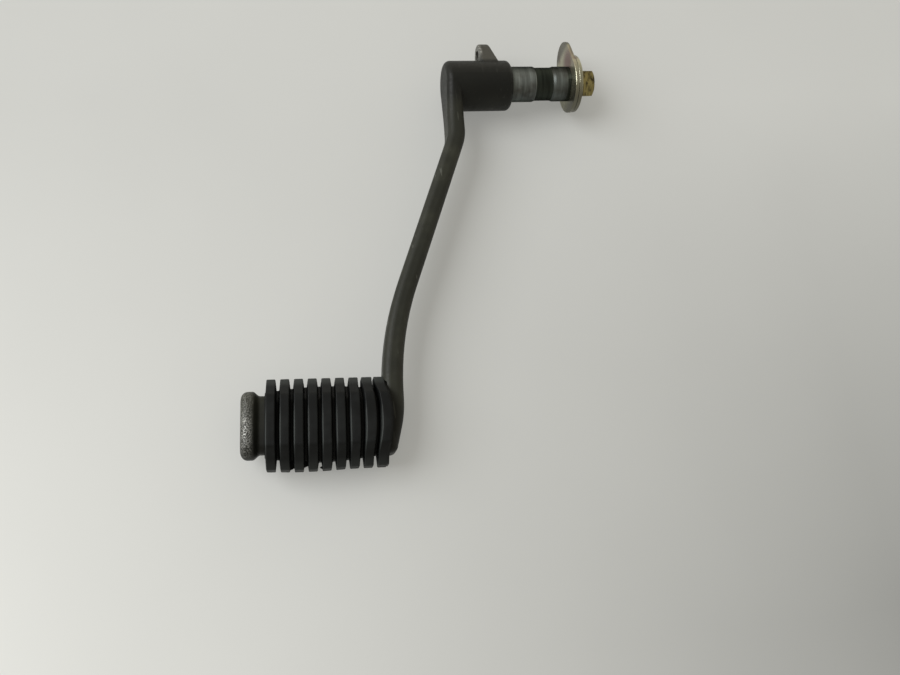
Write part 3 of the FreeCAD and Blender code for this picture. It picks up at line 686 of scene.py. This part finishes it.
def rib_mesh(sizes):
    """One rib of the sleeve as an open band, outside wall and core wall."""
    shape = bmesh.new()
    inward = shape.verts.layers.float_vector.new("inward")
    # Share of painted light and highlight at each point
    rib_light = shape.verts.layers.float.new("rib_light")
    profile = rib_profile(sizes)
    tip_ring = rubber_ring(sizes, 0)
    walls = [[(p.x, rubber_ring(sizes, p.y), tip_ring) for p in profile]]
    bar_ring = core_ring(sizes)
    walls.append([(p.x, bar_ring, bar_ring) for p in (profile[-1], profile[0])])
    for wall in walls:
        rows = []
        for x, ring, outer_ring in wall:
            rows.append([shape.verts.new((x, p.x, p.y)) for p in ring])
            for vert, outer in zip(rows[-1], outer_ring):
                vert[inward] = (0, vert.co.y - outer.x, vert.co.z - outer.y)
                vert[rib_light] = painted_rib_light(sizes, vert.co, Vector(vert[inward]).length)
        for row, following in zip(rows, rows[1:]):
            for index in range(len(row)):
                after = (index + 1) % len(row)
                shape.faces.new((row[index], row[after], following[after], following[index]))
    mesh = bpy.data.meshes.new("pad_rib")
    shape.to_mesh(mesh)
    shape.free()
    return mesh


def ribs_in_row(tree, given, axes):
    """Ribs in a row, trimmed square at both ends and drawn to the seat at the first."""
    step = add_node(tree, "ShaderNodeCombineXYZ", {"X": given["Pitch"]})
    line = add_node(tree, "GeometryNodeMeshLine", {"Count": given["Count"], "Offset": step})
    ribs = add_node(tree, "GeometryNodeInstanceOnPoints", {"Points": line, "Instance": given["Rib"]})
    real = add_node(tree, "GeometryNodeRealizeInstances", {0: ribs})
    trimmed = add_node(tree, "ShaderNodeClamp", {"Value": axes["X"], "Min": 0.0, "Max": given["Length"]})
    squared = add_node(tree, "ShaderNodeCombineXYZ", {"X": trimmed, "Y": axes["Y"], "Z": axes["Z"]})
    ended = add_node(tree, "GeometryNodeSetPosition", {0: real, "Position": squared})
    on_seat = add_node(tree, "FunctionNodeCompare", {0: axes["X"], 1: given["Flank"]}, operation="LESS_THAN")
    at_seat = add_node(tree, "ShaderNodeCombineXYZ", {"Y": axes["Y"], "Z": axes["Z"]})
    return add_node(
        tree, "GeometryNodeSetPosition", {0: ended, "Selection": on_seat, "Position": at_seat})


def groove_lift(tree, given, along):
    """Offset that makes the grooves shallower towards the middle of the pad."""
    from_middle = add_node(tree, "ShaderNodeMath", {0: along, 1: 2.0}, operation="POWER")
    opposed = add_node(tree, "ShaderNodeMath", {0: from_middle, 1: 1.0}, operation="SUBTRACT")
    share = add_node(tree, "ShaderNodeMath", {0: opposed, 1: given["Swell"]}, operation="MULTIPLY")
    inward = add_node(tree, "GeometryNodeInputNamedAttribute", {"Name": "inward"}, data_type="FLOAT_VECTOR")
    return add_node(tree, "ShaderNodeVectorMath", {0: inward, "Scale": share}, operation="SCALE")


def arm_lean(tree, given, axes, across, height):
    """Shift of the ribs near the arm: crowns lean over it, rear ends are pushed away and squashed wide."""
    near_arm = add_node(
        tree, "ShaderNodeMapRange", {0: axes["X"], 1: given["Lean Reach"], 2: 0.0}, **SMOOTH)
    spread = add_node(tree, "ShaderNodeMath", {0: across}, operation="ABSOLUTE")
    middle = add_node(tree, "ShaderNodeMapRange", {0: spread, 1: 0.9, 2: 0.1}, **SMOOTH)
    crown = add_node(tree, "ShaderNodeMapRange", {0: height, 1: 0.3, 2: 0.9}, **SMOOTH)
    arch = add_node(tree, "ShaderNodeMath", {0: middle, 1: crown}, operation="MULTIPLY")
    bowed = add_node(tree, "ShaderNodeMath", {0: arch, 1: given["Bow"]}, operation="MULTIPLY")
    rear = add_node(tree, "ShaderNodeMapRange", {0: across, 1: -0.55, 2: -1.0}, **SMOOTH)
    pushed = add_node(tree, "ShaderNodeMath", {0: rear, 1: given["Push"]}, operation="MULTIPLY")
    from_rib = add_node(tree, "ShaderNodeMath", {0: axes["X"], 1: given["Middle"]}, operation="SUBTRACT")
    turns = add_node(tree, "ShaderNodeMath", {0: from_rib, 1: given["Pitch"]}, operation="DIVIDE")
    angle = add_node(tree, "ShaderNodeMath", {0: turns, 1: math.tau}, operation="MULTIPLY")
    wave = add_node(tree, "ShaderNodeMath", {0: angle}, operation="SINE")
    off_seat = add_node(
        tree, "ShaderNodeMapRange", {0: axes["X"], 1: 0.0, 2: given["Middle"], 4: given["Squash"]}, **SMOOTH)
    wide = add_node(tree, "ShaderNodeMath", {0: wave, 1: off_seat}, operation="MULTIPLY")
    squashed = add_node(tree, "ShaderNodeMath", {0: wide, 1: rear, 2: pushed}, operation="MULTIPLY_ADD")
    lean = add_node(tree, "ShaderNodeMath", {0: squashed, 1: bowed}, operation="SUBTRACT")
    return add_node(tree, "ShaderNodeMath", {0: lean, 1: near_arm}, operation="MULTIPLY")


def front_spread(tree, given, along, across):
    """Shift of the worn rib fronts, most of all a little beyond the middle of the pad."""
    beyond = add_node(tree, "ShaderNodeMath", {0: along, 1: 0.28}, operation="SUBTRACT")
    away = add_node(tree, "ShaderNodeMath", {0: beyond}, operation="ABSOLUTE")
    bulge = add_node(tree, "ShaderNodeMapRange", {0: away, 1: 0.8, 2: 0.1, 3: 0.25, 4: 1.0}, **SMOOTH)
    at_front = add_node(
        tree, "ShaderNodeMapRange", {0: across, 1: 0.5, 2: 0.95, 4: given["Front Reach"]}, **SMOOTH)
    return add_node(tree, "ShaderNodeMath", {0: bulge, 1: at_front}, operation="MULTIPLY")


def rib_tree(material):
    """Geometry nodes that line up the ribs, swell and join them, lean the last ones and set them down."""
    tree = bpy.data.node_groups.new("pad_ribs", "GeometryNodeTree")
    inputs = {
        "Geometry": ("Rib",), "Int": ("Count",), "Vector": ("Place",),
        "Float": ("Pitch", "Flank", "Length", "Half Width", "Crown", "Swell", "Bow", "Push", "Lean Reach",
                  "Middle", "Squash", "Front Reach", "Waver", "Turn"),
    }
    for kind, names in inputs.items():
        for name in names:
            tree.interface.new_socket(name, in_out="INPUT", socket_type="NodeSocket" + kind)
    tree.interface.new_socket("Sleeve", in_out="OUTPUT", socket_type="NodeSocketGeometry")
    given = add_node(tree, "NodeGroupInput").outputs

    # Place on the pad, as shares of its length, half width and half height
    place = add_node(tree, "GeometryNodeInputPosition")
    axes = add_node(tree, "ShaderNodeSeparateXYZ", {0: place}).outputs
    along = add_node(
        tree, "ShaderNodeMapRange", {0: axes["X"], 1: 0.0, 2: given["Length"], 3: -1.0, 4: 1.0})
    across = add_node(tree, "ShaderNodeMath", {0: axes["Y"], 1: given["Half Width"]}, operation="DIVIDE")
    height = add_node(tree, "ShaderNodeMath", {0: axes["Z"], 1: given["Crown"]}, operation="DIVIDE")

    row = ribs_in_row(tree, given, axes)
    lift = groove_lift(tree, given, along)
    swollen = add_node(tree, "GeometryNodeSetPosition", {0: row, "Offset": lift})
    joined = add_node(tree, "GeometryNodeMergeByDistance", {0: swollen, "Distance": WELD})

    # A slight waver on top of the lean and the spread
    uneven = add_node(tree, "ShaderNodeTexNoise", {"Vector": place, "Scale": per_mm(11), "Detail": 1})
    centred = add_node(tree, "ShaderNodeMath", {0: uneven, 1: 0.5}, operation="SUBTRACT")
    wavered = add_node(tree, "ShaderNodeMath", {0: centred, 1: given["Waver"]}, operation="MULTIPLY")
    outer = add_node(tree, "ShaderNodeMapRange", {0: height, 1: 0.0, 2: 1.0}, **SMOOTH)
    lean = arm_lean(tree, given, axes, across, height)
    shifted = add_node(tree, "ShaderNodeMath", {0: wavered, 1: outer, 2: lean}, operation="MULTIPLY_ADD")
    forward = front_spread(tree, given, along, across)
    offset = add_node(tree, "ShaderNodeCombineXYZ", {"X": shifted, "Y": forward})
    leaned = add_node(tree, "GeometryNodeSetPosition", {0: joined, "Offset": offset})

    # The sleeve in its place on the pad
    turn = add_node(tree, "ShaderNodeCombineXYZ", {"Z": given["Turn"]})
    set_down = add_node(
        tree, "GeometryNodeTransform", {0: leaned, "Translation": given["Place"], "Rotation": turn})
    smooth = add_node(tree, "GeometryNodeSetShadeSmooth", {0: set_down})
    sleeve = add_node(tree, "GeometryNodeRealizeInstances", {0: smooth})
    coloured = add_node(tree, "GeometryNodeSetMaterial", {0: sleeve, "Material": material})
    add_node(tree, "NodeGroupOutput", {0: coloured})
    return tree


def set_inputs(modifier, values):
    """Set a geometry nodes modifier's inputs from their names."""
    for item in modifier.node_group.interface.items_tree:
        if item.item_type == "SOCKET" and item.in_out == "INPUT" and item.name in values:
            modifier[item.identifier] = values[item.name]


def plain_mesh(piece):
    """Replace a piece's live nodes and modifiers by the mesh that they give."""
    bpy.context.view_layer.update()
    shown = piece.evaluated_get(bpy.context.evaluated_depsgraph_get())
    mesh = bpy.data.meshes.new_from_object(shown)
    piece.modifiers.clear()
    piece.data = mesh
    mesh.name = piece.name


def close_ends(shape):
    """Bridge the sleeve's outside and core walls at both ends of the pad."""
    back = PAD_TURN.inverted()
    open_edges = [edge for edge in shape.edges if edge.is_boundary]
    for side in (-1, 1):
        rims = [e for e in open_edges if side * ((back @ e.verts[0].co).x - RUBBER_MIDDLE.x) > 0]
        bmesh.ops.bridge_loops(shape, edges=rims)


def add_shreds(shape, sizes):
    """A torn chip and two webs left between the ribs at the front of the pad."""
    setting = Matrix.Translation(PAD_ORIGIN) @ PAD_TURN
    front = RUBBER_SIZE.y / 2 + sizes.front_reach
    for rib, outline in SHREDS:
        flank = rib_start(sizes) + rib * sizes.rib_pitch + (sizes.rib_root + sizes.rib_tip) / 2
        rows = []
        for height in (-SHRED_RISE, SHRED_RISE):
            points = [Vector((flank + out * MM, front - back * MM, height)) for out, back in outline]
            rows.append([shape.verts.new(setting @ point) for point in points])
            shape.faces.new(rows[-1])
        for index in range(len(outline)):
            before = index - 1
            shape.faces.new((rows[0][before], rows[0][index], rows[1][index], rows[1][before]))


def finish_sleeve(mesh, sizes):
    """Close the sleeve, add its shreds and turn every face outward."""
    shape = bmesh.new()
    shape.from_mesh(mesh)
    close_ends(shape)
    add_shreds(shape, sizes)
    bmesh.ops.recalc_face_normals(shape, faces=shape.faces)
    shape.to_mesh(mesh)
    shape.free()


def add_floor(scene, stage):
    """Pale board just under the pedal."""
    half = stage.floor_size / 2
    low = CAD_LOW.z - FLOOR_GAP
    mesh = bpy.data.meshes.new("floor")
    corners = [(-half, -half, low), (half, -half, low), (half, half, low), (-half, half, low)]
    mesh.from_pydata(corners, [], [(0, 1, 2, 3)])
    mesh.materials.append(pale_board(scene.pedal_colours, stage.floor_glow))
    floor = bpy.data.objects.new("floor", mesh)
    scene.collection.objects.link(floor)


def add_key(scene, stage):
    """Large soft lamp, turned to the middle of the pedal."""
    lamp = bpy.data.lights.new("soft_key", "AREA")
    lamp.energy = stage.key_power
    lamp.size = stage.key_size
    lamp.color = stage.key_colour
    key = bpy.data.objects.new("soft_key", lamp)
    key.location = stage.key_place
    centre = (CAD_LOW + CAD_HIGH) / 2
    key.rotation_euler = (centre - key.location).to_track_quat("-Z", "Y").to_euler()
    scene.collection.objects.link(key)


def add_room(scene, stage):
    """Pale room, brighter from the sides than from above and from behind than from in front."""
    world = bpy.data.worlds.new("pale_room")
    world.use_nodes = True
    room = world.node_tree
    room.nodes.clear()
    direction = add_node(room, "ShaderNodeTexCoord").outputs["Generated"]
    toward = add_node(room, "ShaderNodeSeparateXYZ", {0: direction}).outputs
    level = add_node(
        room, "ShaderNodeMapRange",
        {0: toward["Z"], 1: 0.0, 2: 1.0, 3: stage.wall_level, 4: stage.ceiling_level})
    depth = add_node(
        room, "ShaderNodeMapRange",
        {0: toward["Y"], 1: -1.0, 2: 1.0, 3: stage.front_share, 4: stage.rear_share})
    shaded = add_node(room, "ShaderNodeMath", {0: level, 1: depth}, operation="MULTIPLY")
    sky = add_node(room, "ShaderNodeBackground", {"Color": stage.room_colour, "Strength": shaded})
    add_node(room, "ShaderNodeOutputWorld", {"Surface": sky})
    scene.world = world


def add_camera(scene, stage):
    """Camera at the photograph's viewing angle."""
    view = bpy.data.cameras.new("camera")
    view.lens = stage.lens
    view.shift_y = stage.shift
    view.clip_start = NEAREST_SEEN
    camera = bpy.data.objects.new("camera", view)
    camera.location = stage.camera_place
    camera.rotation_euler = stage.camera_turn
    scene.collection.objects.link(camera)
    scene.camera = camera


class PEDAL_OT_forging(bpy.types.Operator):
    """Paint the forging"""

    bl_idname = "pedal.forging"
    bl_label = "Painted Forging"

    def execute(self, context):
        finish_nodes(black_paint(context.scene.pedal_colours), "pedal_forging")
        return {"FINISHED"}


class PEDAL_OT_shaft(bpy.types.Operator):
    """Give the pivot shaft its worn steel"""

    bl_idname = "pedal.shaft"
    bl_label = "Pivot Shaft"

    def execute(self, context):
        finish_nodes(worn_steel(context.scene.pedal_colours), "pivot_shaft")
        return {"FINISHED"}


class PEDAL_OT_fixings(bpy.types.Operator):
    """Plate the stop plate, the washers and the end bolt"""

    bl_idname = "pedal.fixings"
    bl_label = "Plated Fixings"

    def execute(self, context):
        colours = context.scene.pedal_colours
        zinc = zinc_plate("zinc_plated_steel", colours, colours.zinc, colours.zinc_stain, PLATE_STAIN)
        finish_nodes(zinc, "stop_plate", "plain_washer", "spring_washer")
        yellow = zinc_plate(
            "yellow_passivated_zinc", colours, colours.yellow_zinc, colours.yellow_stain, BOLT_STAIN)
        finish_nodes(yellow, "end_bolt")
        return {"FINISHED"}


class PEDAL_OT_pad_rubber(bpy.types.Operator):
    """Build the ribbed rubber sleeve in place of its plain solid"""

    bl_idname = "pedal.pad_rubber"
    bl_label = "Pad Rubber"

    def execute(self, context):
        sizes = context.scene.pedal_rubber
        material = black_rubber(context.scene.pedal_colours)
        piece = bpy.data.objects.new("ribbed_pad_rubber", rib_mesh(sizes))
        piece.data.materials.append(material)
        context.scene.collection.objects.link(piece)
        ribs = piece.modifiers.new("Ribs", "NODES")
        ribs.node_group = rib_tree(material)
        start = rib_start(sizes)
        set_inputs(ribs, {
            "Count": sizes.rib_count, "Place": PAD_ORIGIN, "Turn": PAD_ANGLE, "Pitch": sizes.rib_pitch,
            "Flank": start + (sizes.rib_root - sizes.rib_tip) / 2, "Middle": start + sizes.rib_root / 2,
            "Length": RUBBER_SIZE.x, "Half Width": RUBBER_SIZE.y / 2, "Crown": RUBBER_SIZE.z / 2,
            "Swell": sizes.swell / sizes.rib_height, "Bow": sizes.bow, "Push": sizes.push,
            "Lean Reach": sizes.lean_reach, "Squash": sizes.squash, "Front Reach": sizes.front_reach,
            "Waver": sizes.waver,
        })
        plain_mesh(piece)
        finish_sleeve(piece.data, sizes)
        piece.modifiers.new("Even Normals", "WEIGHTED_NORMAL").keep_sharp = True
        plain_mesh(piece)
        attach(piece, BODY)
        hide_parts("pad_rubber")
        return {"FINISHED"}


class PEDAL_OT_stage(bpy.types.Operator):
    """Set up the floor, the light and the camera"""

    bl_idname = "pedal.stage"
    bl_label = "Stage"

    def execute(self, context):
        scene = context.scene
        for add in (add_floor, add_key, add_room, add_camera):
            add(scene, scene.pedal_stage)
        scene.view_settings.view_transform = "Standard"
        return {"FINISHED"}


class PEDAL_PT_sidebar(bpy.types.Panel):
    """Pedal pieces and their settings"""

    bl_idname = "PEDAL_PT_sidebar"
    bl_label = "Brake Pedal"
    bl_space_type = "VIEW_3D"
    bl_region_type = "UI"
    bl_category = "Pedal"

    def draw(self, context):
        for operator in OPERATORS:
            self.layout.operator(operator.bl_idname)
        for group in GROUPS:
            settings = getattr(context.scene, group)
            for name in settings.bl_rna.properties.keys():
                if name not in ("rna_type", "name"):
                    self.layout.prop(settings, name)


GROUPS = {
    "pedal_rubber": PadRubberSizes,
    "pedal_colours": FinishColours,
    "pedal_stage": StageSettings,
}
OPERATORS = (PEDAL_OT_forging, PEDAL_OT_shaft, PEDAL_OT_fixings, PEDAL_OT_pad_rubber, PEDAL_OT_stage)


def register():
    """Add the settings, the operators and the panel."""
    for group, kind in GROUPS.items():
        bpy.utils.register_class(kind)
        setattr(bpy.types.Scene, group, PointerProperty(type=kind))
    for kind in (*OPERATORS, PEDAL_PT_sidebar):
        bpy.utils.register_class(kind)


def unregister():
    """Take away the panel, the operators and the settings."""
    for kind in (PEDAL_PT_sidebar, *reversed(OPERATORS)):
        bpy.utils.unregister_class(kind)
    for group, kind in GROUPS.items():
        delattr(bpy.types.Scene, group)
        bpy.utils.unregister_class(kind)


def main():
    """Build the pedal's looks and stage."""
    register()
    bpy.ops.pedal.forging()
    bpy.ops.pedal.shaft()
    bpy.ops.pedal.fixings()
    bpy.ops.pedal.pad_rubber()
    bpy.ops.pedal.stage()


if __name__ == "__main__":
    main()
